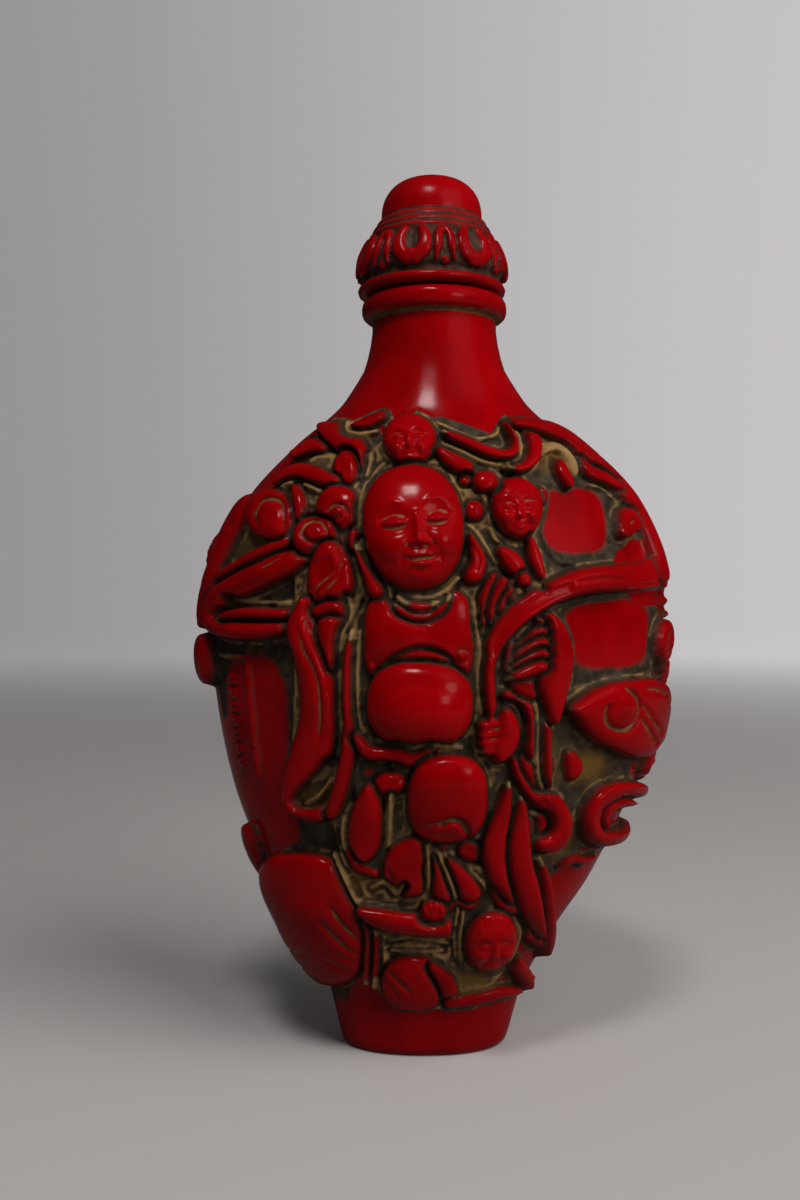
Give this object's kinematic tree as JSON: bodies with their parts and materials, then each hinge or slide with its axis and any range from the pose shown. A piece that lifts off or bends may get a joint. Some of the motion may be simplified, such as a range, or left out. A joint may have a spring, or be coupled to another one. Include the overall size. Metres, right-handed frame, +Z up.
{
  "type": "snuff bottle",
  "caption": "Flattened shouldered snuff bottle in red moulded resin, carved all round in relief with a standing monk, children and clouds, with a lift-off domed stopper.",
  "frame": {"origin": "middle of the underside: the centre of the whole outline seen from above, at the level of the foot rim", "axes": "+Z up through the neck, -Y towards the front with the monk, +X towards the viewer's right when the front is seen"},
  "size_m": [0.047, 0.033, 0.0857],
  "materials": {
    "bottle": "deep red moulded resin, polished on the high places, tan and grey-brown wear in the hollows of the carving",
    "stopper": "deep red moulded resin, polished dome, darker in the grooves of the petals"
  },
  "bodies": {
    "root": {"bottle": "bottle", "stopper": "stopper"}
  },
  "joints": []
}
